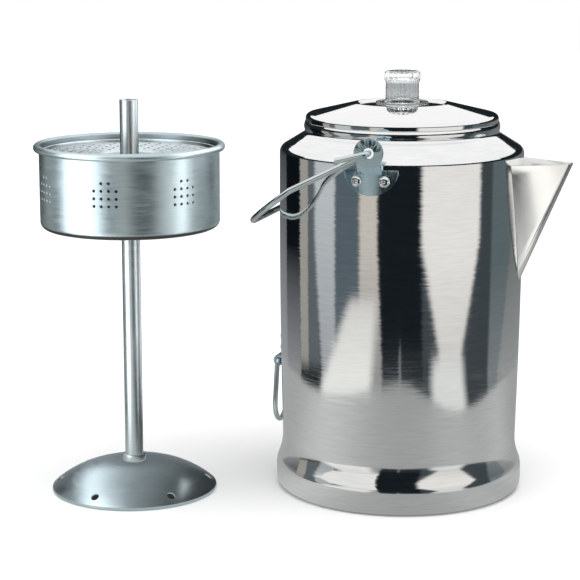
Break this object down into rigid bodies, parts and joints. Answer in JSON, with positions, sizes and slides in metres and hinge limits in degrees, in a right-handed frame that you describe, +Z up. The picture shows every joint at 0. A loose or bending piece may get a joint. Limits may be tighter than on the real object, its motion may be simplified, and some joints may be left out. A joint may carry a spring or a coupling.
{
  "type": "coffee percolator",
  "caption": "Tall aluminium camp coffee percolator with a folded spout, swinging wire bail, tilting ring, glass-knobbed lid, and a separate pump with a perforated basket and spreader on a stem.",
  "frame": {"origin": "middle of the pot's flat base, on the surface it stands on", "axes": "+Z up along the pot, +X along the spout, the bail's pivot line along Y; the pump stands beside the pot at -X -Y"},
  "size_m": [0.352, 0.2259, 0.2863],
  "materials": {
    "polished_aluminium": "mirror polished with fine lathe lines",
    "folded_aluminium": "bright, lightly scuffed",
    "satin_aluminium": "satin with small scratches",
    "tube_aluminium": "drawn, half bright",
    "zinc_plate": "zinc plated, satin",
    "zinc_wire": "zinc plated, half bright",
    "rivet_aluminium": "bright",
    "knob_glass": "clear moulded glass"
  },
  "bodies": {
    "pot": {"pot_shell": "polished_aluminium", "pot_floor": "polished_aluminium", "spout": "folded_aluminium", "front_ear": "zinc_plate", "rear_ear": "zinc_plate", "front_ear_rivets": "rivet_aluminium", "rear_ear_rivets": "rivet_aluminium", "ring_bracket": "zinc_plate", "ring_bracket_rivets": "rivet_aluminium"},
    "bail": {"bail": "zinc_wire"},
    "tilting_ring": {"tilting_ring": "zinc_wire"},
    "lid": {"lid": "polished_aluminium"},
    "knob": {"knob": "knob_glass"},
    "pump": {"stem_tube": "tube_aluminium", "foot_collar": "tube_aluminium", "pump_foot": "satin_aluminium", "basket_stop": "tube_aluminium"},
    "basket": {"basket": "satin_aluminium", "basket_sleeve": "tube_aluminium"},
    "spreader": {"spreader": "satin_aluminium"}
  },
  "joints": [
    {"name": "bail_swing", "type": "hinge", "parent": "pot", "child": "bail", "pos_m": [0, 0, 0.241], "axis": [0, 1, 0], "range_deg": [0, 212]},
    {"name": "tilting_ring_swing", "type": "hinge", "parent": "pot", "child": "tilting_ring", "pos_m": [-0.08584, 0, 0.0815], "axis": [0, 1, 0], "range_deg": [0, 150]},
    {"name": "lid_lift", "type": "slide", "parent": "pot", "child": "lid", "axis": [0, 0, 1], "range_m": [0, 0.12]},
    {"name": "knob_twist", "type": "hinge", "parent": "lid", "child": "knob", "pos_m": [0, 0, 0.26367], "axis": [0, 0, 1], "range_deg": [0, 90]},
    {"name": "pump_lift", "type": "slide", "parent": "pot", "child": "pump", "axis": [0, 0, 1], "range_m": [0, 0.28]},
    {"name": "basket_lift", "type": "slide", "parent": "pump", "child": "basket", "axis": [0, 0, 1], "range_m": [0, 0.1]},
    {"name": "spreader_lift", "type": "slide", "parent": "basket", "child": "spreader", "axis": [0, 0, 1], "range_m": [0, 0.05]}
  ]
}
